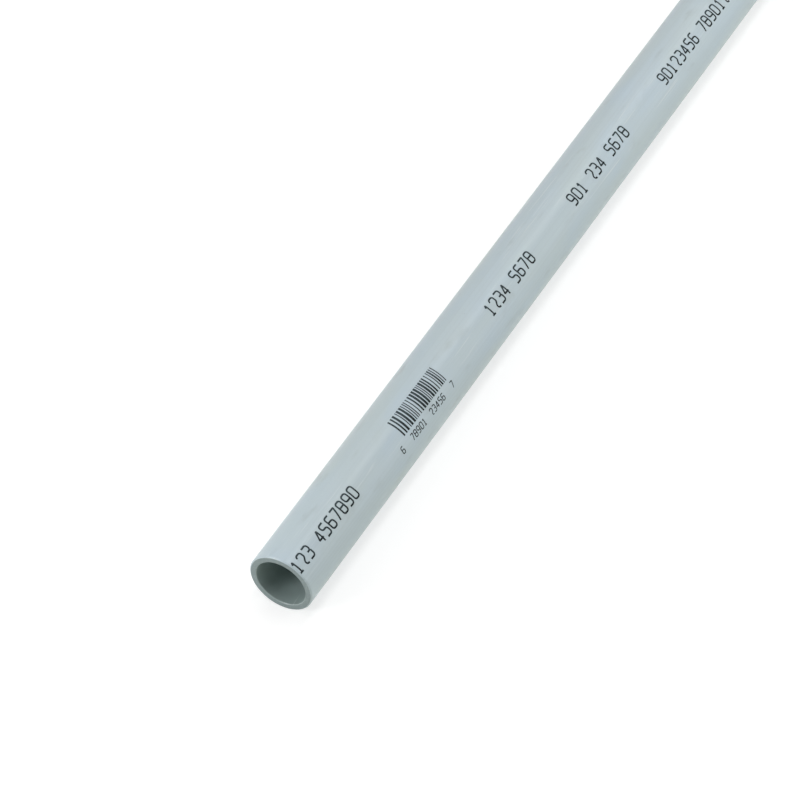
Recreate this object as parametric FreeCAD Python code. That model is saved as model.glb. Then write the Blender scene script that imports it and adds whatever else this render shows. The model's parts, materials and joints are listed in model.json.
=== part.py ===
# Rigid PVC electrical conduit: one extruded length with a bell formed on one end.
#
# The length lies along X on a level floor, with +X towards the bell and +Z up. The origin is
# on the floor, under the middle of the length. The plain end at -X is the spigot, cut square,
# and the next length's spigot slides into the bell at +X and stops on its shoulder.
# Units are millimetres. Radii in a profile are measured from the conduit's own axis.

import FreeCAD, Part

import math
import os

# The extruded wall
OUTSIDE_DIAMETER = 26.67
WALL = 2.87
OVERALL_LENGTH = 3048.0

# The bell, blown out over a mandrel while the end is hot, so its wall is stretched thinner
SOCKET_GAP = 0.13
SOCKET_DEPTH = 38.0
BELL_WALL = 2.40
SHOULDER_ANGLE = 30.0
SHOULDER_BEND_RADIUS = 4.0

# The broken edges that the saw cut and the mandrel leave
SPIGOT_OUTER_BEVEL = 0.50
SPIGOT_INNER_BEVEL = 0.30
MOUTH_LEAD_IN = 0.90
MOUTH_LEAD_IN_ANGLE = 30.0
MOUTH_OUTER_ROUND = 0.60

# Worked out from the sizes above
BARREL_RADIUS = OUTSIDE_DIAMETER / 2
BORE_RADIUS = BARREL_RADIUS - WALL
SOCKET_RADIUS = BARREL_RADIUS + SOCKET_GAP
BELL_RADIUS = SOCKET_RADIUS + BELL_WALL
SPIGOT_END = -OVERALL_LENGTH / 2
MOUTH = OVERALL_LENGTH / 2
SOCKET_FLOOR = MOUTH - SOCKET_DEPTH
AXIS_HEIGHT = BELL_RADIUS


def at(x, radius):
    """A point of the profile, which is drawn above the axis."""
    return FreeCAD.Vector(x, 0, AXIS_HEIGHT + radius)


def line(start, end):
    return Part.LineSegment(start, end).toShape()


def arc(start, middle, end):
    return Part.Arc(start, middle, end).toShape()


def shoulder(large_x, large_radius, small_radius):
    """The surface that steps down from the bell to the barrel, towards -X: a cone between two equal bends.

    large_x is where the bell's straight wall would meet the cone if the corner were sharp.
    The edges run from the bell towards the barrel, and the two end points are given too.
    """
    slope = math.radians(SHOULDER_ANGLE)
    small_x = large_x - (large_radius - small_radius) / math.tan(slope)
    tangent = SHOULDER_BEND_RADIUS * math.tan(slope / 2)
    along_x = tangent * math.cos(slope)
    along_radius = tangent * math.sin(slope)
    half_x = SHOULDER_BEND_RADIUS * math.sin(slope / 2)
    half_radius = SHOULDER_BEND_RADIUS * (1 - math.cos(slope / 2))

    bell_side = at(large_x + tangent, large_radius)
    bell_bend = at(large_x + tangent - half_x, large_radius - half_radius)
    cone_top = at(large_x - along_x, large_radius - along_radius)
    cone_foot = at(small_x + along_x, small_radius + along_radius)
    barrel_bend = at(small_x - tangent + half_x, small_radius + half_radius)
    barrel_side = at(small_x - tangent, small_radius)
    edges = [
        arc(bell_side, bell_bend, cone_top),
        line(cone_top, cone_foot),
        arc(cone_foot, barrel_bend, barrel_side),
    ]
    return edges, bell_side, barrel_side


def wall_profile():
    """The wall's outline in the plane above the axis, from the mouth's outer edge round to its inner edge."""
    # A bend keeps its wall, so the outer corner of the shoulder lies further from the mouth.
    bend_shift = BELL_WALL * math.tan(math.radians(SHOULDER_ANGLE) / 2)
    outer_shoulder, bell_back, barrel_front = shoulder(SOCKET_FLOOR - bend_shift, BELL_RADIUS, BARREL_RADIUS)
    inner_shoulder, socket_foot, bore_front = shoulder(SOCKET_FLOOR, SOCKET_RADIUS, BORE_RADIUS)

    round_share = 1 - math.sqrt(0.5)
    rim_outer = at(MOUTH, BELL_RADIUS - MOUTH_OUTER_ROUND)
    rim_round = at(MOUTH - MOUTH_OUTER_ROUND * round_share, BELL_RADIUS - MOUTH_OUTER_ROUND * round_share)
    bell_front = at(MOUTH - MOUTH_OUTER_ROUND, BELL_RADIUS)
    barrel_back = at(SPIGOT_END + SPIGOT_OUTER_BEVEL, BARREL_RADIUS)
    cut_outer = at(SPIGOT_END, BARREL_RADIUS - SPIGOT_OUTER_BEVEL)
    cut_inner = at(SPIGOT_END, BORE_RADIUS + SPIGOT_INNER_BEVEL)
    bore_back = at(SPIGOT_END + SPIGOT_INNER_BEVEL, BORE_RADIUS)
    socket_front = at(MOUTH - MOUTH_LEAD_IN, SOCKET_RADIUS)
    lead_in_rise = MOUTH_LEAD_IN * math.tan(math.radians(MOUTH_LEAD_IN_ANGLE))
    rim_inner = at(MOUTH, SOCKET_RADIUS + lead_in_rise)

    edges = [arc(rim_outer, rim_round, bell_front), line(bell_front, bell_back)]
    edges += outer_shoulder
    edges += [
        line(barrel_front, barrel_back),
        line(barrel_back, cut_outer),
        line(cut_outer, cut_inner),
        line(cut_inner, bore_back),
        line(bore_back, bore_front),
    ]
    edges += inner_shoulder[::-1]
    edges += [
        line(socket_foot, socket_front),
        line(socket_front, rim_inner),
        line(rim_inner, rim_outer),
    ]
    return Part.Wire(Part.__sortEdges__(edges))


def conduit_pipe():
    """The whole length: the wall's outline turned once about the conduit's axis."""
    section = Part.Face(wall_profile())
    axis_point = FreeCAD.Vector(0, 0, AXIS_HEIGHT)
    return section.revolve(axis_point, FreeCAD.Vector(1, 0, 0), 360)


def main():
    os.makedirs("parts", exist_ok=True)
    conduit_pipe().exportStep("parts/conduit_pipe.step")


main()
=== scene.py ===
"""A length of grey rigid PVC conduit, belled at one end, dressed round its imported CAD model.

The conduit lies along X with its plain, sawn end at -X and its bell at +X, as in the frame.
Lengths are metres, as everywhere in Blender. A size that is read off a ruler is written as a
number of millimetres times MM.
"""

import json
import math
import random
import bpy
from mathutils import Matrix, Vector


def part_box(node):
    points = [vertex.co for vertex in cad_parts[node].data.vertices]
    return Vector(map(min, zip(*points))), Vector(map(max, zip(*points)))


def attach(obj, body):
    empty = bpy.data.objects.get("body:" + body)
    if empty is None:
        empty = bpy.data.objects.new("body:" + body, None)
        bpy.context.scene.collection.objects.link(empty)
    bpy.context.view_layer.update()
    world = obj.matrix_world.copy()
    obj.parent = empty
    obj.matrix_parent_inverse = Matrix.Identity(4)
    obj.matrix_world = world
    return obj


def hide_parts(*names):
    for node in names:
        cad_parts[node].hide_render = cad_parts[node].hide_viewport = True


bl_info = {
    "name": "Belled PVC Conduit",
    "version": (1, 0, 0),
    "blender": (4, 5, 0),
    "location": "View3D > Sidebar > Conduit",
    "description": "Builds a length of rigid PVC conduit, its printed line and a plain studio",
    "category": "Object",
}

import bmesh
import bpy
from bpy.props import FloatProperty, FloatVectorProperty, IntProperty, PointerProperty
from mathutils import Vector

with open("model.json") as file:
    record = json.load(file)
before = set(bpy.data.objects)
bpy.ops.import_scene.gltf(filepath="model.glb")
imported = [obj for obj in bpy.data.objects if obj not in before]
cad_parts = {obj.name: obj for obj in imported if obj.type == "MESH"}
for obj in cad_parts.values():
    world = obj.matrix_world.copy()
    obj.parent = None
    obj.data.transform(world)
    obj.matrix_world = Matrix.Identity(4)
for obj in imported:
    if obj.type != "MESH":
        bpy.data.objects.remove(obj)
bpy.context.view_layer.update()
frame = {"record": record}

CAD_NODE = "conduit_pipe"
BODY = "root"
MM = 0.001

# Refractive indices and the shader's specular levels of the two finishes. At a level of 0.5 a
# surface reflects as its index says. A thin film full of soot is porous, so it reflects less.
PVC_IOR = 1.53
PVC_GLOSS = 0.5
INK_IOR = 1.48
INK_GLOSS = 0.2

MOUNTS = {mount["name"]: mount for mount in frame["record"]["mounts"]}
LOWEST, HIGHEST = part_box(CAD_NODE)
BARREL_DIAMETER = 2 * MOUNTS["spigot"]["dims"]["r_mm"] * MM
BORE_DIAMETER = 2 * MOUNTS["raceway"]["dims"]["r_mm"] * MM
SOCKET_DIAMETER = 2 * MOUNTS["socket"]["dims"]["r_mm"] * MM
BELL_DIAMETER = HIGHEST.z - LOWEST.z
OVERALL_LENGTH = HIGHEST.x - LOWEST.x

# A printed figure's strokes, on a cell one unit wide and one unit high. A stroke that comes
# back to its first point is a ring.
STROKES = {
    0: [[(0, 0), (1, 0), (1, 1), (0, 1), (0, 0)]],
    1: [[(0.2, 0.78), (0.5, 1), (0.5, 0)], [(0.15, 0), (0.85, 0)]],
    2: [[(0, 0.8), (0, 1), (1, 1), (1, 0.55), (0, 0), (1, 0)]],
    3: [[(0, 1), (1, 1), (1, 0.52), (0.35, 0.52)], [(1, 0.52), (1, 0), (0, 0)]],
    4: [[(0.75, 0), (0.75, 1), (0, 0.3), (1, 0.3)]],
    5: [[(1, 1), (0, 1), (0, 0.56), (1, 0.56), (1, 0), (0, 0)]],
    6: [[(0.95, 1), (0, 1), (0, 0), (1, 0), (1, 0.56), (0, 0.56)]],
    7: [[(0, 1), (1, 1), (0.35, 0)]],
    8: [[(0, 0), (1, 0), (1, 1), (0, 1), (0, 0)], [(0, 0.53), (1, 0.53)]],
    9: [[(0.05, 0), (1, 0), (1, 1), (0, 1), (0, 0.44), (1, 0.44)]],
}

# These figures have open, sharp turns, which keep only this share of the corner radius
SHARP_FIGURES = (1, 4, 7)
SHARP_ROUNDING = 0.15

# How wide a bar or a gap may be, the commoner widths named more often
BAR_WIDTHS = (0.5 * MM, 0.5 * MM, 0.5 * MM, 0.8 * MM, 1.1 * MM)
GAP_WIDTHS = (0.5 * MM, 0.5 * MM, 0.5 * MM, 0.7 * MM, 1.0 * MM)

# Where each large group starts along the line, from the sawn end, and how many figures its
# words have. The figures count up from 1 to 9 and 0, over and over, so they say nothing.
LARGE_GROUPS = (
    (0.2 * MM, (3, 7)),
    (151.2 * MM, (4, 4)),
    (222.3 * MM, (3, 3, 4)),
    (305.0 * MM, (8, 9)),
)
BARS_START = 79.0 * MM
# The small figures under the bars: how far each word starts from the first bar, and its length
SMALL_GROUPS = ((-5.4 * MM, 1), (2.3 * MM, 5), (17.2 * MM, 5), (33.7 * MM, 1))


def linear(hex_colour):
    """An sRGB hex colour as the linear numbers that Blender's colours are in."""
    channels = [int(hex_colour[i : i + 2], 16) / 255 for i in (1, 3, 5)]
    return [c / 12.92 if c <= 0.04045 else ((c + 0.055) / 1.055) ** 2.4 for c in channels]


# Short ways to declare a setting, each with its own unit and range
def length(name, description, default):
    return FloatProperty(
        name=name, description=description, default=default, min=0.0, precision=5, unit="LENGTH"
    )


def angle(name, description, degrees):
    return FloatProperty(
        name=name, description=description, default=math.radians(degrees), subtype="ANGLE"
    )


def number(name, description, default):
    return FloatProperty(name=name, description=description, default=default, min=0.0)


def count(name, description, default):
    return IntProperty(name=name, description=description, default=default, min=0)


def colour(name, description, hex_colour):
    return FloatVectorProperty(
        name=name,
        description=description,
        default=linear(hex_colour),
        size=3,
        min=0.0,
        max=1.0,
        subtype="COLOR",
    )


class ConduitWallSettings(bpy.types.PropertyGroup):
    """Sizes of the extruded wall and of the bell formed on its end."""

    outside_diameter: length("Outside diameter", "Across the barrel", BARREL_DIAMETER)
    bore_diameter: length("Bore", "Across the raceway inside the barrel", BORE_DIAMETER)
    socket_diameter: length("Socket", "Across the inside of the bell", SOCKET_DIAMETER)
    bell_diameter: length("Bell", "Across the outside of the bell", BELL_DIAMETER)
    overall_length: length("Length", "From the sawn end to the mouth", OVERALL_LENGTH)
    socket_depth: length("Socket depth", "From the mouth to the shoulder inside", 38.0 * MM)
    shoulder_angle: angle("Shoulder angle", "Slope between barrel and bell", 30.0)
    bend_radius: length("Bend radius", "Of the two bends of the shoulder", 4.0 * MM)
    mouth_round: length("Mouth round", "Of the mouth's outer edge", 0.6 * MM)
    lead_in: length("Lead-in", "Length of the bevel inside the mouth", 0.9 * MM)
    lead_in_angle: angle("Lead-in angle", "Slope of the bevel inside the mouth", 30.0)
    sawn_outer_bevel: length("Outer bevel", "Broken outer edge of the sawn end", 0.5 * MM)
    sawn_inner_bevel: length("Inner bevel", "Broken inner edge of the sawn end", 0.3 * MM)
    edge_round: length("Edge round", "Of the corners of the two bevels", 0.12 * MM)
    turn_steps: count("Turn steps", "Faces round the wall", 160)
    bend_steps: count("Bend steps", "Points on each rounded corner", 5)
    ring_spacing: length("Ring spacing", "Between two rings of the straight wall", 40.0 * MM)
    heat_fade: length("Heat fade", "Before the bell, where the skin starts to change", 30.0 * MM)
    bell_sink: length("Bell sink", "How deep the bell dips where it cooled unevenly", 0.12 * MM)
    sink_size: length("Sink size", "Across one dip", 14.0 * MM)
    seed: count("Seed", "Of the dips", 4)


class ConduitPrintSettings(bpy.types.PropertyGroup):
    """Sizes of the line of plain marks that a printing roll leaves along the barrel."""

    figure_height: length("Figure height", "Of the large figures", 5.2 * MM)
    figure_width: length("Figure width", "Of the large figures, between stroke middles", 2.75 * MM)
    figure_pitch: length("Figure pitch", "From one large figure to the next", 4.18 * MM)
    line_angle: angle("Line angle", "From the top towards -Y, to the large figures' middle", 30.8)
    stroke_width: length("Stroke width", "Of the large figures", 0.74 * MM)
    small_scale: number("Small scale", "Small figures' size as a share of the large ones'", 0.54)
    small_stroke: length("Small stroke", "Stroke width of the small figures", 0.42 * MM)
    small_angle: angle("Small angle", "From the top towards -Y, to the small figures' middle", 56.5)
    bars_length: length("Bars' length", "Along the conduit", 33.5 * MM)
    bars_height: length("Bars' height", "Round the conduit", 8.4 * MM)
    bars_angle: angle("Bars' angle", "From the top towards -Y, to the bars' middle", 25.4)
    corner_radius: length("Corner radius", "Where a large figure's stroke turns", 0.95 * MM)
    corner_steps: count("Corner steps", "Points on each turn of a stroke", 5)
    step: length("Step", "The most between two points of a stroke", 0.8 * MM)
    film: length("Film", "How far the ink stands above the wall", 0.02 * MM)
    wobble: length("Wobble", "How far the roll slurs a stroke", 0.10 * MM)
    wobble_size: length("Wobble size", "From one slur to the next", 3.0 * MM)
    repeat_spacing: length("Repeat spacing", "From one line of marks to the next", 600.0 * MM)
    repeats: count("Repeats", "Lines of marks on the barrel", 5)
    seed: count("Seed", "Of the bars' widths", 11)


class ConduitFinishSettings(bpy.types.PropertyGroup):
    """Colours of the compound, of its worn and heated parts, and of the ink. The bore's colour is
    painted shade inside the pipe, and the sawn face's is partly painted shade.
    """

    wall: colour("Wall", "Grey compound as extruded", "#B2C0C5")
    wall_cool: colour("Wall, cool", "Where the compound runs bluer", "#B0C0CA")
    wall_warm: colour("Wall, warm", "Where the compound runs warmer", "#B3C0C1")
    bell: colour("Bell", "Compound that was heated to form the bell", "#BFC6C5")
    # The bore is painted darker and greener than the outside wall, as painted shade inside the pipe
    bore: colour("Bore", "Inside wall, which no sizing sleeve has polished", "#94A3A2")
    scuff: colour("Scuff", "Skin that was rubbed pale", "#CBD2D3")
    grime: colour("Grime", "Dust and handling marks", "#8D9694")
    # The sawn face is darker partly as cut compound and partly as painted shade on the end face
    sawn: colour("Sawn face", "Compound where the saw opened it", "#808E91")
    ink: colour("Ink", "Roll ink where it lies thick", "#05090B")
    thin_ink: colour("Thin ink", "Roll ink where the wall shows through", "#3E4B50")
    roughness: number("Roughness", "Of the vacuum-sized skin", 0.38)


class ConduitStudioSettings(bpy.types.PropertyGroup):
    """A plain pale floor, soft lamps and the camera at the photograph's place."""

    floor_colour: colour("Floor", "Matte paper, as it lights the conduit", "#F0F3E8")
    floor_shown: colour("Floor shown", "Matte paper, as it takes shadows where it shows", "#BCBCBC")
    floor_glow: number("Floor glow", "What lifts the shown floor to white", 0.62)
    shadow_reach: length("Shadow reach", "How far off the conduit its shadow may fall", 0.25)
    floor_size: length("Floor size", "Side of the square floor", 40.0)
    sky_strength: number("Sky strength", "Of the even light from all round", 0.15)
    overhead_power: number("Overhead power", "Of the soft box above the conduit, in watts", 10.5)
    side_power: number("Side power", "Of the soft box on the conduit's -Y side, in watts", 14.2)
    back_power: number("Back power", "Of the soft box on the conduit's +Y side, in watts", 7.8)
    end_power: number("End power", "Of the small soft box before the sawn end, in watts", 0.52)
    lens: number("Lens", "Focal length in millimetres", 166.13)
    camera_place: FloatVectorProperty(
        name="Camera place",
        description="Where the camera stands",
        default=(-2.27462, -0.50157, 1.04424),
        subtype="TRANSLATION",
    )
    camera_turn: FloatVectorProperty(
        name="Camera turn",
        description="How the camera is turned",
        default=[math.radians(a) for a in (43.9789, 1.7901, -61.0416)],
        subtype="EULER",
    )


def add(tree, kind, settings=None, inputs=None):
    """Adds a node. settings are its own properties.

    inputs fills its sockets, by name or number, each with a value or the socket that feeds it.
    """
    made = tree.nodes.new(kind)
    for name, value in (settings or {}).items():
        setattr(made, name, value)
    for socket, value in (inputs or {}).items():
        if isinstance(value, bpy.types.NodeSocket):
            tree.links.new(value, made.inputs[socket])
        else:
            made.inputs[socket].default_value = value
    return made


def new_tree(name, sizes):
    """A Geometry Nodes tree with one named input for each size.

    Returns it and its input sockets by name.
    """
    tree = bpy.data.node_groups.new(name, "GeometryNodeTree")
    tree.interface.new_socket("Geometry", in_out="INPUT", socket_type="NodeSocketGeometry")
    tree.interface.new_socket("Geometry", in_out="OUTPUT", socket_type="NodeSocketGeometry")
    for label, value in sizes.items():
        kind = "NodeSocketInt" if isinstance(value, int) else "NodeSocketFloat"
        tree.interface.new_socket(label, in_out="INPUT", socket_type=kind)
    given = tree.nodes.new("NodeGroupInput").outputs
    return tree, {socket.name: socket for socket in given if socket.name}


def put(name, data):
    """Puts an object with that mesh, lamp or camera in the scene and returns it."""
    made = bpy.data.objects.new(name, data)
    bpy.context.scene.collection.objects.link(made)
    return made


def named_sizes(settings, names):
    """Those settings under the names of a tree's inputs, so that socket_depth is Socket Depth."""
    return {name.replace("_", " ").title(): getattr(settings, name) for name in names}


def grow(name, mesh, tree, sizes):
    """Runs a Geometry Nodes tree on a mesh, at those sizes. Returns a plain object of the mesh."""
    source = put(name, mesh)
    modifier = source.modifiers.new(name, "NODES")
    modifier.node_group = tree
    for item in tree.interface.items_tree:
        if item.in_out == "INPUT" and item.name in sizes:
            modifier[item.identifier] = sizes[item.name]
    grown = source.evaluated_get(bpy.context.evaluated_depsgraph_get())
    plain = bpy.data.meshes.new_from_object(grown)
    bpy.data.objects.remove(source)
    if not plain.polygons:
        raise RuntimeError(f"{name}: the node tree made no faces")
    plain.name = name
    return put(name, plain)


def finish_tree(tree, geometry, material):
    """Ends a tree: real geometry, smooth except over sharp edges, in its material."""
    sharp_over = math.radians(32)
    real = add(tree, "GeometryNodeRealizeInstances", inputs={"Geometry": geometry})
    turn = add(tree, "GeometryNodeInputMeshEdgeAngle")
    soft = add(
        tree,
        "ShaderNodeMath",
        {"operation": "LESS_THAN"},
        {0: turn.outputs["Unsigned Angle"], 1: sharp_over},
    )
    smooth = add(
        tree,
        "GeometryNodeSetShadeSmooth",
        {"domain": "EDGE"},
        {"Geometry": real.outputs[0], "Shade Smooth": soft.outputs[0]},
    )
    coated = add(
        tree,
        "GeometryNodeSetMaterial",
        inputs={"Geometry": smooth.outputs[0], "Material": material},
    )
    return coated.outputs[0]


def split_stretches(tree, curve, longest):
    """Adds points to a curve, so that no stretch of it is longer than that. Returns its socket."""
    here = add(tree, "GeometryNodeInputPosition").outputs[0]
    following = add(tree, "GeometryNodeOffsetPointInCurve", inputs={"Offset": 1})
    there = add(
        tree,
        "GeometryNodeFieldAtIndex",
        {"data_type": "FLOAT_VECTOR", "domain": "POINT"},
        {"Value": here, "Index": following.outputs["Point Index"]},
    )
    gap = add(
        tree, "ShaderNodeVectorMath", {"operation": "DISTANCE"}, {0: here, 1: there.outputs[0]}
    )
    cuts = add(
        tree, "ShaderNodeMath", {"operation": "DIVIDE"}, {0: gap.outputs["Value"], 1: longest}
    )
    split = add(
        tree, "GeometryNodeSubdivideCurve", inputs={"Curve": curve, "Cuts": cuts.outputs[0]}
    )
    return split.outputs[0]


# Sizes of the wall's outline and dips, each worked out from the settings and from those above it
WALL_SUMS = {
    "Barrel Radius": ("MULTIPLY", "Outside Diameter", 0.5),
    "Bore Radius": ("MULTIPLY", "Bore Diameter", 0.5),
    "Socket Radius": ("MULTIPLY", "Socket Diameter", 0.5),
    "Bell Radius": ("MULTIPLY", "Bell Diameter", 0.5),
    "mouth": ("MULTIPLY", "Overall Length", 0.5),
    "sawn": ("MULTIPLY", "Overall Length", -0.5),
    "socket floor": ("SUBTRACT", "mouth", "Socket Depth"),
    "heat start": ("SUBTRACT", "socket floor", "Heat Fade"),
    "slope": ("TANGENT", "Shoulder Angle"),
    "half angle": ("MULTIPLY", "Shoulder Angle", 0.5),
    "half slope": ("TANGENT", "half angle"),
    "bell wall": ("SUBTRACT", "Bell Radius", "Socket Radius"),
    "bend shift": ("MULTIPLY", "bell wall", "half slope"),
    "bell back": ("SUBTRACT", "socket floor", "bend shift"),
    "outer drop": ("SUBTRACT", "Bell Radius", "Barrel Radius"),
    "outer cone": ("DIVIDE", "outer drop", "slope"),
    "outer foot": ("SUBTRACT", "bell back", "outer cone"),
    "inner drop": ("SUBTRACT", "Socket Radius", "Bore Radius"),
    "inner cone": ("DIVIDE", "inner drop", "slope"),
    "inner foot": ("SUBTRACT", "socket floor", "inner cone"),
    "lead-in slope": ("TANGENT", "Lead In Angle"),
    "lead-in rise": ("MULTIPLY", "Lead In", "lead-in slope"),
    "rim radius": ("ADD", "Socket Radius", "lead-in rise"),
    "lead-in start": ("SUBTRACT", "mouth", "Lead In"),
    "barrel start": ("ADD", "sawn", "Sawn Outer Bevel"),
    "cut outer radius": ("SUBTRACT", "Barrel Radius", "Sawn Outer Bevel"),
    "cut inner radius": ("ADD", "Bore Radius", "Sawn Inner Bevel"),
    "bore start": ("ADD", "sawn", "Sawn Inner Bevel"),
    "rail shift": ("MULTIPLY", "Barrel Radius", -1.0),
    "dips per metre": ("DIVIDE", 1.0, "Sink Size"),
}

# The outline's corners: the place along the conduit, the radius there and the corner's
# rounding. They run from the mouth's outer edge back along the outside, round the sawn end and
# forward again through the bore.
WALL_CORNERS = (
    ("mouth", "Bell Radius", "Mouth Round"),
    ("bell back", "Bell Radius", "Bend Radius"),
    ("outer foot", "Barrel Radius", "Bend Radius"),
    ("barrel start", "Barrel Radius", "Edge Round"),
    ("sawn", "cut outer radius", "Edge Round"),
    ("sawn", "cut inner radius", "Edge Round"),
    ("bore start", "Bore Radius", "Edge Round"),
    ("inner foot", "Bore Radius", "Bend Radius"),
    ("socket floor", "Socket Radius", "Bend Radius"),
    ("lead-in start", "Socket Radius", "Edge Round"),
    ("mouth", "rim radius", "Edge Round"),
)


def wall_outline(tree, size):
    """The wall's outline, a ring of points with X along the conduit and Y the radius.

    Returns its socket.
    """
    index = add(tree, "GeometryNodeInputIndex").outputs[0]
    place = add(tree, "GeometryNodeIndexSwitch", {"data_type": "VECTOR"}, {"Index": index})
    rounding = add(tree, "GeometryNodeIndexSwitch", {"data_type": "FLOAT"}, {"Index": index})
    for switch in (place, rounding):
        while len(switch.index_switch_items) < len(WALL_CORNERS):
            switch.index_switch_items.new()
    # A switch's first input is the index itself, so the corners' inputs start at 1
    for item, (along, radius, corner_round) in enumerate(WALL_CORNERS, start=1):
        point = add(tree, "ShaderNodeCombineXYZ", inputs={0: size[along], 1: size[radius]})
        tree.links.new(point.outputs[0], place.inputs[item])
        tree.links.new(size[corner_round], rounding.inputs[item])

    line = add(tree, "GeometryNodeMeshLine", inputs={"Count": len(WALL_CORNERS)})
    outline = add(tree, "GeometryNodeMeshToCurve", inputs={"Mesh": line.outputs[0]})
    ring = add(
        tree, "GeometryNodeSetSplineCyclic", inputs={"Geometry": outline.outputs[0], "Cyclic": True}
    )
    placed = add(
        tree,
        "GeometryNodeSetPosition",
        inputs={"Geometry": ring.outputs[0], "Position": place.outputs[0]},
    )
    rounded = add(
        tree,
        "GeometryNodeFilletCurve",
        {"mode": "POLY"},
        {
            "Curve": placed.outputs[0],
            "Count": size["Bend Steps"],
            "Radius": rounding.outputs[0],
            "Limit Radius": True,
        },
    )
    # Long straight stretches get rings, so that no face is metres long
    return split_stretches(tree, rounded.outputs[0], size["Ring Spacing"])


def turn_outline(tree, size, outline):
    """Turns the outline about the conduit's axis and lays the wall at its height.

    Returns its socket.
    """
    # The outline stands beside the point of the rail that carries it, so the rail's own radius
    # comes off first
    shift = add(tree, "ShaderNodeCombineXYZ", inputs={1: size["rail shift"]})
    profile = add(
        tree, "GeometryNodeSetPosition", inputs={"Geometry": outline, "Offset": shift.outputs[0]}
    )
    rail = add(
        tree,
        "GeometryNodeCurvePrimitiveCircle",
        {"mode": "RADIUS"},
        {"Resolution": size["Turn Steps"], "Radius": size["Barrel Radius"]},
    )
    # The profile's X becomes the direction across the rail, so both are turned to suit
    stood = add(
        tree,
        "GeometryNodeTransform",
        inputs={"Geometry": profile.outputs[0], "Rotation": (0.0, 0.0, math.radians(-90))},
    )
    turned = add(
        tree,
        "GeometryNodeCurveToMesh",
        inputs={"Curve": rail.outputs[0], "Profile Curve": stood.outputs[0]},
    )
    # The bell rests on the floor, so the axis is as high as the bell's radius
    lift = add(tree, "ShaderNodeCombineXYZ", inputs={2: size["Bell Radius"]})
    laid = add(
        tree,
        "GeometryNodeTransform",
        inputs={
            "Geometry": turned.outputs[0],
            "Translation": lift.outputs[0],
            "Rotation": (0.0, math.radians(90), 0.0),
        },
    )
    return laid.outputs[0]


def mark_and_dent(tree, size, wall):
    """Dents the bell a little, where it cooled unevenly. Returns the wall's socket.

    It also stores two attributes for the material: how far the end was heated, and which faces are
    the inside wall, which the material paints darker as shade inside the pipe.
    """
    here = add(tree, "GeometryNodeInputPosition").outputs[0]
    along = add(tree, "ShaderNodeSeparateXYZ", inputs={0: here}).outputs[0]
    heated = add(
        tree,
        "ShaderNodeMapRange",
        {"interpolation_type": "SMOOTHSTEP"},
        {"Value": along, "From Min": size["heat start"], "From Max": size["socket floor"]},
    ).outputs["Result"]
    axis_point = add(tree, "ShaderNodeCombineXYZ", inputs={0: along, 2: size["Bell Radius"]})
    to_axis = add(
        tree, "ShaderNodeVectorMath", {"operation": "SUBTRACT"}, {0: axis_point.outputs[0], 1: here}
    )
    inward = add(tree, "ShaderNodeVectorMath", {"operation": "NORMALIZE"}, {0: to_axis.outputs[0]})
    # The inside wall is the part whose faces look at the axis, within 60 degrees
    normal = add(tree, "GeometryNodeInputNormal").outputs[0]
    turned_in = add(
        tree,
        "ShaderNodeVectorMath",
        {"operation": "DOT_PRODUCT"},
        {0: normal, 1: inward.outputs[0]},
    )
    inside = add(
        tree,
        "ShaderNodeMath",
        {"operation": "GREATER_THAN"},
        {0: turned_in.outputs["Value"], 1: 0.5},
    ).outputs[0]
    for name, domain, value in (("heated", "POINT", heated), ("inside", "FACE", inside)):
        wall = add(
            tree,
            "GeometryNodeStoreNamedAttribute",
            {"data_type": "FLOAT", "domain": domain},
            {"Geometry": wall, "Name": name, "Value": value},
        ).outputs[0]

    dips = add(
        tree,
        "ShaderNodeTexNoise",
        {"noise_dimensions": "4D"},
        {"Vector": here, "W": size["Seed"], "Scale": size["dips per metre"], "Detail": 1.0},
    )
    depth = dips.outputs[0]
    for share in (size["Bell Sink"], heated):
        depth = add(
            tree, "ShaderNodeMath", {"operation": "MULTIPLY"}, {0: depth, 1: share}
        ).outputs[0]
    # Both skins of the wall dip towards the axis together, so the wall keeps its thickness
    dip = add(
        tree, "ShaderNodeVectorMath", {"operation": "SCALE"}, {0: inward.outputs[0], "Scale": depth}
    )
    dented = add(
        tree, "GeometryNodeSetPosition", inputs={"Geometry": wall, "Offset": dip.outputs[0]}
    )
    return dented.outputs[0]


def wall_tree(sizes, skin, sawn_skin_with_painted_shade):
    """The tree that makes the whole wall in one piece, in its two finishes."""
    tree, size = new_tree("conduit wall", sizes)
    for name, (operation, *terms) in WALL_SUMS.items():
        inputs = {number: size.get(term, term) for number, term in enumerate(terms)}
        size[name] = add(tree, "ShaderNodeMath", {"operation": operation}, inputs).outputs[0]
    wall = turn_outline(tree, size, wall_outline(tree, size))
    coated = finish_tree(tree, mark_and_dent(tree, size, wall), skin)

    # The faces that look along the conduit, within about 25 degrees, were sawn
    normal = add(tree, "GeometryNodeInputNormal").outputs[0]
    facing = add(tree, "ShaderNodeSeparateXYZ", inputs={0: normal})
    square = add(tree, "ShaderNodeMath", {"operation": "ABSOLUTE"}, {0: facing.outputs[0]})
    flat = add(
        tree, "ShaderNodeMath", {"operation": "GREATER_THAN"}, {0: square.outputs[0], 1: 0.9}
    )
    cut = add(
        tree,
        "GeometryNodeSetMaterial",
        inputs={"Geometry": coated, "Selection": flat.outputs[0], "Material": sawn_skin_with_painted_shade},
    )
    add(tree, "NodeGroupOutput", inputs={0: cut.outputs[0]})
    return tree


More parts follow.
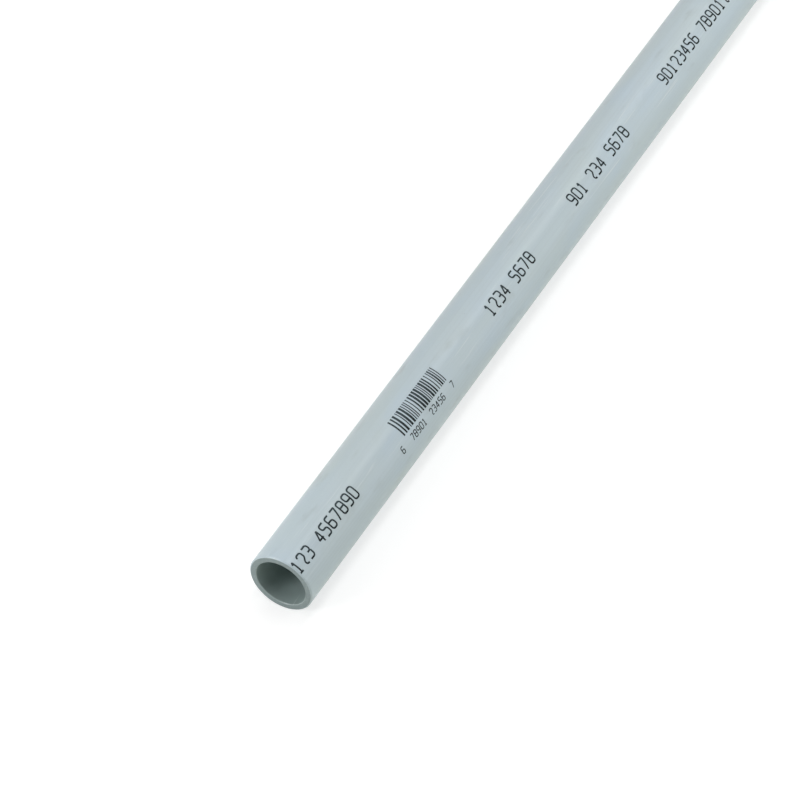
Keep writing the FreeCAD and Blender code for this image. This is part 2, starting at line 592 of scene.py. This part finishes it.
class ConduitWallOperator(bpy.types.Operator):
    """Build the conduit's wall: the barrel, its sawn end and the bell"""

    bl_idname = "conduit.wall"
    bl_label = "Conduit Wall"

    def execute(self, context):
        wall = context.scene.conduit_wall
        finish = context.scene.conduit_finish
        sizes = named_sizes(wall, ConduitWallSettings.__annotations__)
        tree = wall_tree(sizes, extruded_pvc(finish), sawn_pvc_with_painted_shade(finish))
        made = grow("conduit_wall", bpy.data.meshes.new("outline"), tree, sizes)
        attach(made, BODY)
        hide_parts(CAD_NODE)
        return {"FINISHED"}


def figures(settings, words, counted, start, middle, scale):
    """The strokes of words of figures that go on counting from one group to the next.

    Returns them as (points, corner radius) pairs in metres, and how far the count has come.
    A blank one pitch wide parts two words.
    """
    strokes = []
    place = start
    width = settings.figure_width * scale
    height = settings.figure_height * scale
    pitch = settings.figure_pitch * scale
    for word in words:
        for _ in range(word):
            counted += 1
            figure = counted % 10
            rounding = settings.corner_radius * scale
            if figure in SHARP_FIGURES:
                rounding *= SHARP_ROUNDING
            for stroke in STROKES[figure]:
                points = [(place + x * width, middle + (y - 0.5) * height) for x, y in stroke]
                strokes.append((points, rounding))
            place += pitch
        place += pitch
    return strokes, counted


def print_layout(settings):
    """One line of marks laid out flat, as (points, stroke width, corner radius) in metres.

    X runs along the conduit from the sawn end. Y runs round it, from 0 on the top line of the
    barrel, and falls towards the conduit's -Y side, where the marks are.
    """
    barrel_radius = BARREL_DIAMETER / 2
    large = (settings.line_angle, 1.0, settings.stroke_width)
    small = (settings.small_angle, settings.small_scale, settings.small_stroke)
    groups = [(start, words, large) for start, words in LARGE_GROUPS]
    groups += [(BARS_START + offset, (word,), small) for offset, word in SMALL_GROUPS]
    marks = []
    counted = 0
    for start, words, (turn, scale, stroke_width) in groups:
        middle = -turn * barrel_radius
        strokes, counted = figures(settings, words, counted, start, middle, scale)
        marks += [(points, stroke_width, rounding) for points, rounding in strokes]

    # Bars and gaps of random widths, which no scanner could take for a number
    draw = random.Random(settings.seed)
    middle = -settings.bars_angle * barrel_radius
    low = middle - settings.bars_height / 2
    high = middle + settings.bars_height / 2
    place = BARS_START
    while place < BARS_START + settings.bars_length:
        width = draw.choice(BAR_WIDTHS)
        across = place + width / 2
        marks.append(([(across, low), (across, high)], width, 0.0))
        place += width + draw.choice(GAP_WIDTHS)
    return marks


def strokes_mesh(marks):
    """The marks' strokes as loose edges, whose points carry their widths and corner radii."""
    points = []
    edges = []
    widths = []
    roundings = []
    for stroke, width, rounding in marks:
        ring = stroke[0] == stroke[-1]
        corners = stroke[:-1] if ring else stroke
        first = len(points)
        points += [(x, y, 0.0) for x, y in corners]
        widths += [width] * len(corners)
        roundings += [rounding] * len(corners)
        edges += [(first + i, first + i + 1) for i in range(len(corners) - 1)]
        if ring:
            edges.append((first + len(corners) - 1, first))
    mesh = bpy.data.meshes.new("strokes")
    mesh.from_pydata(points, edges, [])
    for name, values in (("stroke_width", widths), ("rounding", roundings)):
        mesh.attributes.new(name, "FLOAT", "POINT").data.foreach_set("value", values)
    return mesh


def thicken_strokes(tree, size):
    """Rounds the turns of the strokes and gives them their widths. Returns their socket."""
    given = tree.nodes["Group Input"].outputs["Geometry"]
    curves = add(tree, "GeometryNodeMeshToCurve", inputs={"Mesh": given})
    width, rounding = [
        add(tree, "GeometryNodeInputNamedAttribute", {"data_type": "FLOAT"}, {"Name": name})
        for name in ("stroke_width", "rounding")
    ]
    rounded = add(
        tree,
        "GeometryNodeFilletCurve",
        {"mode": "POLY"},
        {
            "Curve": curves.outputs[0],
            "Count": size["Corner Steps"],
            "Radius": rounding.outputs[0],
            "Limit Radius": True,
        },
    )
    stepped = split_stretches(tree, rounded.outputs[0], size["Step"])
    level = add(tree, "GeometryNodeSetCurveNormal", {"mode": "Z_UP"}, {"Curve": stepped})
    section = add(
        tree, "GeometryNodeCurvePrimitiveQuadrilateral", inputs={"Width": 1.0, "Height": 1.0}
    )
    strokes = add(
        tree,
        "GeometryNodeCurveToMesh",
        inputs={
            "Curve": level.outputs[0],
            "Profile Curve": section.outputs[0],
            "Scale": width.outputs[0],
            "Fill Caps": True,
        },
    )
    return strokes.outputs[0]


def repeat_line(tree, size, marks):
    """Repeats one line of marks along the conduit. Returns the socket of them all."""
    spacing = add(tree, "ShaderNodeCombineXYZ", inputs={0: size["Repeat Spacing"]})
    start = add(tree, "ShaderNodeCombineXYZ", inputs={0: size["Sawn End"]})
    line = add(
        tree,
        "GeometryNodeMeshLine",
        {"mode": "OFFSET"},
        {
            "Count": size["Repeats"],
            "Start Location": start.outputs[0],
            "Offset": spacing.outputs[0],
        },
    )
    copies = add(
        tree, "GeometryNodeInstanceOnPoints", inputs={"Points": line.outputs[0], "Instance": marks}
    )
    real = add(tree, "GeometryNodeRealizeInstances", inputs={"Geometry": copies.outputs[0]})
    return real.outputs[0]


def slur(tree, size, here):
    """The place that a point of a mark wanders to, as the roll slips a little under the conduit."""
    flat_here = add(
        tree, "ShaderNodeVectorMath", {"operation": "MULTIPLY"}, {0: here, 1: (1, 1, 0)}
    )
    grain = add(tree, "ShaderNodeMath", {"operation": "DIVIDE"}, {0: 1.0, 1: size["Wobble Size"]})
    drift = add(
        tree,
        "ShaderNodeTexNoise",
        inputs={"Vector": flat_here.outputs[0], "Scale": grain.outputs[0], "Detail": 1.0},
    )
    centred = add(
        tree,
        "ShaderNodeVectorMath",
        {"operation": "SUBTRACT"},
        {0: drift.outputs["Color"], 1: (0.5, 0.5, 0.5)},
    )
    wandered = add(
        tree,
        "ShaderNodeVectorMath",
        {"operation": "MULTIPLY_ADD"},
        {0: centred.outputs[0], 1: size["Wobble"], 2: here},
    )
    return wandered.outputs[0]


def wrap_round(tree, size, marks):
    """Wraps flat marks round the barrel, as a film that stands just off it.

    Returns their socket.
    """
    here = add(tree, "GeometryNodeInputPosition").outputs[0]
    spot = add(tree, "ShaderNodeSeparateXYZ", inputs={0: slur(tree, size, here)})
    # A stroke's upper side becomes the film's face, and its lower side sinks into the wall
    level = add(tree, "ShaderNodeSeparateXYZ", inputs={0: here})
    side = add(tree, "ShaderNodeMath", {"operation": "SIGN"}, {0: level.outputs["Z"]})
    radius = add(
        tree,
        "ShaderNodeMath",
        {"operation": "MULTIPLY_ADD"},
        {0: side.outputs[0], 1: size["Film"], 2: size["Barrel Radius"]},
    )
    turn = add(
        tree,
        "ShaderNodeMath",
        {"operation": "DIVIDE"},
        {0: spot.outputs["Y"], 1: size["Barrel Radius"]},
    )
    sine = add(tree, "ShaderNodeMath", {"operation": "SINE"}, {0: turn.outputs[0]})
    cosine = add(tree, "ShaderNodeMath", {"operation": "COSINE"}, {0: turn.outputs[0]})
    across = add(
        tree,
        "ShaderNodeMath",
        {"operation": "MULTIPLY"},
        {0: sine.outputs[0], 1: radius.outputs[0]},
    )
    height = add(
        tree,
        "ShaderNodeMath",
        {"operation": "MULTIPLY_ADD"},
        {0: cosine.outputs[0], 1: radius.outputs[0], 2: size["Axis Height"]},
    )
    place = add(
        tree,
        "ShaderNodeCombineXYZ",
        inputs={0: spot.outputs["X"], 1: across.outputs[0], 2: height.outputs[0]},
    )
    wrapped = add(
        tree, "GeometryNodeSetPosition", inputs={"Geometry": marks, "Position": place.outputs[0]}
    )
    return wrapped.outputs[0]


def print_tree(sizes, ink):
    """The tree that makes every line of marks from the flat strokes that it is given."""
    tree, size = new_tree("printed line", sizes)
    marks = repeat_line(tree, size, thicken_strokes(tree, size))
    coated = finish_tree(tree, wrap_round(tree, size, marks), ink)
    add(tree, "NodeGroupOutput", inputs={0: coated})
    return tree


def cut_square(made, place):
    """Takes away what lies before a plane across the conduit and closes what that opens."""
    edit = bmesh.new()
    edit.from_mesh(made.data)
    everything = edit.verts[:] + edit.edges[:] + edit.faces[:]
    cut = bmesh.ops.bisect_plane(
        edit, geom=everything, plane_co=(place, 0, 0), plane_no=(1, 0, 0), clear_inner=True
    )
    opened = [item for item in cut["geom_cut"] if isinstance(item, bmesh.types.BMEdge)]
    bmesh.ops.holes_fill(edit, edges=opened)
    edit.to_mesh(made.data)
    edit.free()


class ConduitPrintOperator(bpy.types.Operator):
    """Print the line of plain figures and bars along the barrel"""

    bl_idname = "conduit.print_line"
    bl_label = "Printed Line"

    def execute(self, context):
        settings = context.scene.conduit_print
        wall = context.scene.conduit_wall
        names = "corner_steps step film wobble wobble_size repeat_spacing repeats".split()
        sizes = {
            "Barrel Radius": wall.outside_diameter / 2,
            "Axis Height": wall.bell_diameter / 2,
            "Sawn End": LOWEST.x,
            **named_sizes(settings, names),
        }
        tree = print_tree(sizes, roll_ink(context.scene.conduit_finish))
        made = grow("printed_line", strokes_mesh(print_layout(settings)), tree, sizes)
        # The length was sawn after it was printed, so no ink is left on the broken edge
        cut_square(made, LOWEST.x + wall.sawn_outer_bevel)
        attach(made, BODY)
        return {"FINISHED"}


def new_material(name):
    """An empty material. Returns it, its node tree and the socket of the place on the object."""
    material = bpy.data.materials.new(name)
    material.use_nodes = True
    tree = material.node_tree
    tree.nodes.clear()
    return material, tree, add(tree, "ShaderNodeTexCoord").outputs["Object"]


def grains(tree, place, size, low, high, detail=2.0, where=1.0):
    """A pattern of soft grains, that long along X, Y and Z in metres. Returns its socket.

    It gives 0 up to where the noise passes low, and what where says from where it passes high.
    """
    stretched = add(
        tree,
        "ShaderNodeVectorMath",
        {"operation": "MULTIPLY"},
        {0: place, 1: [1 / across for across in size]},
    )
    noise = add(
        tree,
        "ShaderNodeTexNoise",
        inputs={"Vector": stretched.outputs[0], "Scale": 1.0, "Detail": detail},
    )
    level = add(
        tree,
        "ShaderNodeMapRange",
        {"interpolation_type": "SMOOTHSTEP"},
        {"Value": noise.outputs["Fac"], "From Min": low, "From Max": high, "To Max": where},
    )
    return level.outputs["Result"]


def lay_coats(tree, base, coats):
    """Lays colours over the base colour, one after another. Returns the socket of what shows.

    A coat is a pattern's socket, how much the coat hides where that is 1, and its colour.
    """
    shown = (*base, 1.0)
    for pattern, most, coat in coats:
        share = add(tree, "ShaderNodeMath", {"operation": "MULTIPLY"}, {0: pattern, 1: most})
        shown = add(
            tree,
            "ShaderNodeMix",
            {"data_type": "RGBA"},
            {"Factor": share.outputs[0], 6: shown, 7: (*coat, 1.0)},
        ).outputs[2]
    return shown


def add_up(tree, total, parts):
    """Adds each part, a pattern's socket and what it adds where that is 1. Returns the total."""
    for pattern, more in parts:
        total = add(
            tree, "ShaderNodeMath", {"operation": "MULTIPLY_ADD"}, {0: pattern, 1: more, 2: total}
        ).outputs[0]
    return total


def finish_material(tree, base, ior, gloss, roughness, rough_parts, height_parts):
    """Ends a material with one Principled shader and its bump.

    gloss is the shader's specular level. The parts are as in add_up, and the height's are metres.
    """
    roughness = add_up(tree, roughness, rough_parts)
    height = add_up(tree, 0.0, height_parts)
    bump = add(tree, "ShaderNodeBump", inputs={"Strength": 1.0, "Distance": 1.0, "Height": height})
    principled = add(
        tree,
        "ShaderNodeBsdfPrincipled",
        inputs={
            "Base Color": base,
            "Roughness": roughness,
            "IOR": ior,
            "Specular IOR Level": gloss,
            "Normal": bump.outputs[0],
        },
    )
    add(tree, "ShaderNodeOutputMaterial", inputs={"Surface": principled.outputs[0]})


def extruded_pvc(finish):
    """Rigid PVC, extruded through a die and sized in a vacuum tank.

    The skin is satin, with faint lines along the conduit from the die, a slow drift of tone in
    the compound, pale rub marks from the rack, and a duller, warmer bell where it was heated.
    """
    material, tree, place = new_material("pvc extruded and vacuum sized")
    heated = add(tree, "ShaderNodeAttribute", {"attribute_name": "heated"}).outputs["Fac"]
    inside = add(tree, "ShaderNodeAttribute", {"attribute_name": "inside"}).outputs["Fac"]

    # Pigment and filler are never quite evenly mixed: patches a thumb's breadth to a hand's long
    drift = grains(tree, place, (60 * MM, 14 * MM, 14 * MM), 0.32, 0.68)
    patches = grains(tree, place, (22 * MM, 9 * MM, 9 * MM), 0.20, 0.80, detail=3.0)

    # The die draws lines finer than 0.2 mm. They are drawn 0.9 mm wide, so that they show.
    lines = grains(tree, place, (350 * MM, 0.9 * MM, 0.9 * MM), 0.45, 0.80, detail=1.0)

    # The bell went soft in the oven and against the mandrel, so its skin is paler and cloudy
    clouds = grains(tree, place, (13 * MM, 10 * MM, 10 * MM), 0.30, 0.62, detail=3.0, where=heated)

    # Rub marks from the rack and from handling: pale, thin and mostly lengthwise
    rubbed = grains(tree, place, (120 * MM, 12 * MM, 12 * MM), 0.46, 0.60)
    rubs = grains(tree, place, (28 * MM, 0.8 * MM, 0.8 * MM), 0.60, 0.70, detail=3.0, where=rubbed)

    # Dust and finger marks, and a few specks of dirt about half a millimetre across
    smears = grains(tree, place, (16 * MM, 7 * MM, 7 * MM), 0.58, 0.78, detail=5.0)
    cells = add(tree, "ShaderNodeTexVoronoi", inputs={"Vector": place, "Scale": 1 / (11 * MM)})
    specks = add(
        tree,
        "ShaderNodeMapRange",
        {"interpolation_type": "SMOOTHSTEP"},
        {
            "Value": cells.outputs["Distance"],
            "From Min": 0.015,
            "From Max": 0.05,
            "To Min": 1.0,
            "To Max": 0.0,
        },
    ).outputs["Result"]

    base = lay_coats(
        tree,
        finish.wall_cool,
        [
            (drift, 1.0, finish.wall_warm),
            (patches, 1.0, finish.wall),
            (lines, 0.11, finish.grime),
            (heated, 0.35, finish.bell),
            (clouds, 0.65, finish.bell),
            # The inside wall takes the bore colour: painted shade inside the pipe
            (inside, 1.0, finish.bore),
            (rubs, 0.55, finish.scuff),
            (smears, 0.30, finish.grime),
            (specks, 0.45, finish.grime),
        ],
    )

    # The vacuum sleeve leaves an orange-peel grain about 1 mm across and some microns deep. Half
    # of what it adds to the roughness comes off first, so that the mean is the roughness set.
    peel = grains(tree, place, (1.1 * MM, 0.8 * MM, 0.8 * MM), 0.25, 0.75)
    peel_dulls = 0.06
    finish_material(
        tree,
        base,
        PVC_IOR,
        PVC_GLOSS,
        finish.roughness - peel_dulls / 2,
        [(peel, peel_dulls), (rubs, 0.12), (heated, 0.06)],
        [(lines, 0.018 * MM), (peel, 0.010 * MM), (rubs, -0.016 * MM)],
    )
    return material


def sawn_pvc_with_painted_shade(finish):
    """Rigid PVC cut with a fine saw: dull, with straight saw lines, and darker: partly the cut
    compound's own colour and partly painted shade on the end face.
    """
    material, tree, place = new_material("pvc sawn")
    # The blade came down at a slant, so its lines cross the ring that way. A tooth leaves lines
    # closer than 0.2 mm. They are drawn 0.45 mm apart, so that they show.
    slanted = add(
        tree,
        "ShaderNodeVectorRotate",
        {"rotation_type": "X_AXIS"},
        {"Vector": place, "Angle": math.radians(24)},
    ).outputs[0]
    teeth = grains(tree, slanted, (1.0, 12 * MM, 0.45 * MM), 0.35, 0.75)
    crumbs = grains(tree, place, (0.5 * MM, 0.5 * MM, 0.5 * MM), 0.60, 0.75)
    # The sawn colour is partly painted shade on the end face
    base = lay_coats(
        tree, finish.sawn, [(teeth, 0.40, finish.grime), (crumbs, 0.45, finish.scuff)]
    )
    finish_material(
        tree,
        base,
        PVC_IOR,
        PVC_GLOSS,
        0.55,
        [(teeth, 0.12)],
        [(teeth, 0.06 * MM), (crumbs, 0.02 * MM)],
    )
    return material


def roll_ink(finish):
    """Solvent ink laid on by a printing roll: matte, near black, starved in places."""
    material, tree, place = new_material("solvent ink roll printed")
    starved = grains(tree, place, (2.2 * MM, 1.4 * MM, 1.4 * MM), 0.45, 0.72, detail=3.0)
    faded = grains(tree, place, (40 * MM, 9 * MM, 9 * MM), 0.42, 0.70)
    # The roll bears hardest low on the side, so the marks thin out towards the top line. The
    # lighter ink there is also partly a painted highlight, where the overhead light falls on the
    # ink.
    top = HIGHEST.z - (BELL_DIAMETER - BARREL_DIAMETER) / 2
    ink_thinned_and_lit_towards_top = add(
        tree,
        "ShaderNodeMapRange",
        {"interpolation_type": "SMOOTHSTEP"},
        {
            "Value": add(tree, "ShaderNodeSeparateXYZ", inputs={0: place}).outputs["Z"],
            "From Min": top - 3.2 * MM,
            "From Max": top - 0.1 * MM,
        },
    ).outputs["Result"]
    base = lay_coats(
        tree,
        finish.ink,
        [
            (starved, 0.45, finish.thin_ink),
            (faded, 0.30, finish.thin_ink),
            # Lighter towards the top line: thinner ink and a painted highlight
            (ink_thinned_and_lit_towards_top, 0.60, finish.thin_ink),
        ],
    )
    finish_material(
        tree, base, INK_IOR, INK_GLOSS, 0.62, [(starved, 0.08)], [(starved, 0.005 * MM)]
    )
    return material


class ConduitStudioOperator(bpy.types.Operator):
    """Lay the floor, hang the lamps and stand the camera at the photograph's place"""

    bl_idname = "conduit.studio"
    bl_label = "Studio"

    def execute(self, context):
        studio = context.scene.conduit_studio
        build_floor(context, studio)
        build_sky(context, studio)
        build_soft_boxes(studio)
        build_camera(context, studio)
        context.scene.view_settings.view_transform = "Standard"
        return {"FINISHED"}


def build_floor(context, studio):
    """A floor that the conduit rests on, under the bell and, a little higher, at the sawn end."""
    wall = context.scene.conduit_wall
    step = (wall.bell_diameter - wall.outside_diameter) / 2
    bell_x = HIGHEST.x - wall.socket_depth
    fall = step / (bell_x - LOWEST.x)
    half = studio.floor_size / 2
    corners = [
        (x, y, (bell_x - x) * fall)
        for x, y in ((-half, -half), (half, -half), (half, half), (-half, half))
    ]
    mesh = bpy.data.meshes.new("floor")
    mesh.from_pydata(corners, [], [(0, 1, 2, 3)])
    mesh.materials.append(floor_paper(studio))
    put("floor", mesh)


def shown_ray(tree):
    """A socket that is 1 for a ray whose end shows: to the camera, in a gloss or through glass."""
    path = add(tree, "ShaderNodeLightPath")
    shown = path.outputs["Is Camera Ray"]
    for kind in ("Is Glossy Ray", "Is Transmission Ray"):
        shown = add(
            tree, "ShaderNodeMath", {"operation": "MAXIMUM"}, {0: shown, 1: path.outputs[kind]}
        ).outputs[0]
    return shown


def off_axis(tree, place):
    """A socket that gives how far a place on the floor is from the conduit's middle line."""
    half = OVERALL_LENGTH / 2
    # Cut off at both ends of the line, and at 0 across it, a place becomes its foot on the line
    end = add(tree, "ShaderNodeVectorMath", {"operation": "MINIMUM"}, {0: place, 1: (half, 0, 0)})
    foot = add(
        tree,
        "ShaderNodeVectorMath",
        {"operation": "MAXIMUM"},
        {0: end.outputs[0], 1: (-half, 0, 0)},
    )
    return add(
        tree, "ShaderNodeVectorMath", {"operation": "DISTANCE"}, {0: place, 1: foot.outputs[0]}
    ).outputs["Value"]


def floor_paper(studio):
    """White seamless paper. Where it shows it is lifted to white, and it keeps its shadows."""
    material, tree, place = new_material("matte paper")
    paper = add(tree, "ShaderNodeBsdfDiffuse", inputs={"Color": (*studio.floor_colour, 1.0)})
    shown_paper = add(tree, "ShaderNodeBsdfDiffuse", inputs={"Color": (*studio.floor_shown, 1.0)})
    # The lamps light the floor round the conduit only, so beyond its shadow the glow does it all
    lift = add(
        tree,
        "ShaderNodeMapRange",
        {"interpolation_type": "SMOOTHSTEP"},
        {
            "Value": off_axis(tree, place),
            "From Min": studio.shadow_reach / 2,
            "From Max": studio.shadow_reach,
            "To Min": studio.floor_glow,
            "To Max": 1.0,
        },
    )
    glow = add(tree, "ShaderNodeEmission", inputs={"Strength": lift.outputs["Result"]})
    lifted = add(
        tree, "ShaderNodeAddShader", inputs={0: glow.outputs[0], 1: shown_paper.outputs[0]}
    )
    mixed = add(
        tree,
        "ShaderNodeMixShader",
        inputs={0: shown_ray(tree), 1: paper.outputs[0], 2: lifted.outputs[0]},
    )
    add(tree, "ShaderNodeOutputMaterial", inputs={"Surface": mixed.outputs[0]})
    return material


def build_sky(context, studio):
    """Even light from all round, which shows as plain white."""
    world = bpy.data.worlds.new("white room")
    context.scene.world = world
    world.use_nodes = True
    tree = world.node_tree
    tree.nodes.clear()
    strength = add(
        tree,
        "ShaderNodeMapRange",
        inputs={"Value": shown_ray(tree), "To Min": studio.sky_strength, "To Max": 1.0},
    )
    white = add(
        tree,
        "ShaderNodeBackground",
        inputs={"Color": (1, 1, 1, 1), "Strength": strength.outputs[0]},
    )
    add(tree, "ShaderNodeOutputWorld", inputs={"Surface": white.outputs[0]})


# Each soft box: the setting that holds its power, its middle, the point it faces and its size
SOFT_BOXES = {
    "overhead box": ("overhead_power", (0.0, -0.09, 1.0), (0.0, 0.0, 0.0), (3.5, 0.30)),
    "side box": ("side_power", (0.0, -1.015, 0.54), (0.0, 0.0, 0.0), (3.5, 1.20)),
    "back box": ("back_power", (0.0, 0.57, 0.82), (0.0, 0.0, 0.0), (3.5, 0.80)),
    "end box": ("end_power", (-1.75, 0.17, 0.16), (-1.52, 0.0, 0.012), (0.12, 0.12)),
}


def build_soft_boxes(studio):
    for name, (power, place, aim, (length_along, width_across)) in SOFT_BOXES.items():
        lamp = bpy.data.lights.new(name, "AREA")
        lamp.shape = "RECTANGLE"
        lamp.size = length_along
        lamp.size_y = width_across
        lamp.energy = getattr(studio, power)
        made = put(name, lamp)
        made.location = place
        made.rotation_euler = (Vector(aim) - Vector(place)).to_track_quat("-Z", "Y").to_euler()
        made.visible_camera = False


def build_camera(context, studio):
    data = bpy.data.cameras.new("camera")
    data.lens = studio.lens
    data.clip_start = 0.05
    data.clip_end = 100.0
    camera = put("camera", data)
    camera.location = studio.camera_place
    camera.rotation_euler = studio.camera_turn
    context.scene.camera = camera


class ConduitPanel(bpy.types.Panel):
    """Sizes, colours and the three build buttons, in the 3D view's sidebar"""

    bl_idname = "VIEW3D_PT_conduit"
    bl_label = "Belled PVC Conduit"
    bl_space_type = "VIEW_3D"
    bl_region_type = "UI"
    bl_category = "Conduit"

    def draw(self, context):
        for settings_name, operator in PANEL_ROWS:
            settings = getattr(context.scene, settings_name)
            box = self.layout.box()
            for name in settings.__annotations__:
                box.prop(settings, name)
            if operator:
                box.operator(operator)


PANEL_ROWS = (
    ("conduit_wall", "conduit.wall"),
    ("conduit_print", "conduit.print_line"),
    ("conduit_finish", None),
    ("conduit_studio", "conduit.studio"),
)
SETTINGS = {
    "conduit_wall": ConduitWallSettings,
    "conduit_print": ConduitPrintSettings,
    "conduit_finish": ConduitFinishSettings,
    "conduit_studio": ConduitStudioSettings,
}
CLASSES = (
    *SETTINGS.values(),
    ConduitWallOperator,
    ConduitPrintOperator,
    ConduitStudioOperator,
    ConduitPanel,
)


def register():
    for cls in CLASSES:
        bpy.utils.register_class(cls)
    for name, cls in SETTINGS.items():
        setattr(bpy.types.Scene, name, PointerProperty(type=cls))


def unregister():
    for name in SETTINGS:
        delattr(bpy.types.Scene, name)
    for cls in reversed(CLASSES):
        bpy.utils.unregister_class(cls)


def main():
    register()
    bpy.ops.conduit.wall()
    bpy.ops.conduit.print_line()
    bpy.ops.conduit.studio()


if __name__ == "__main__":
    main()
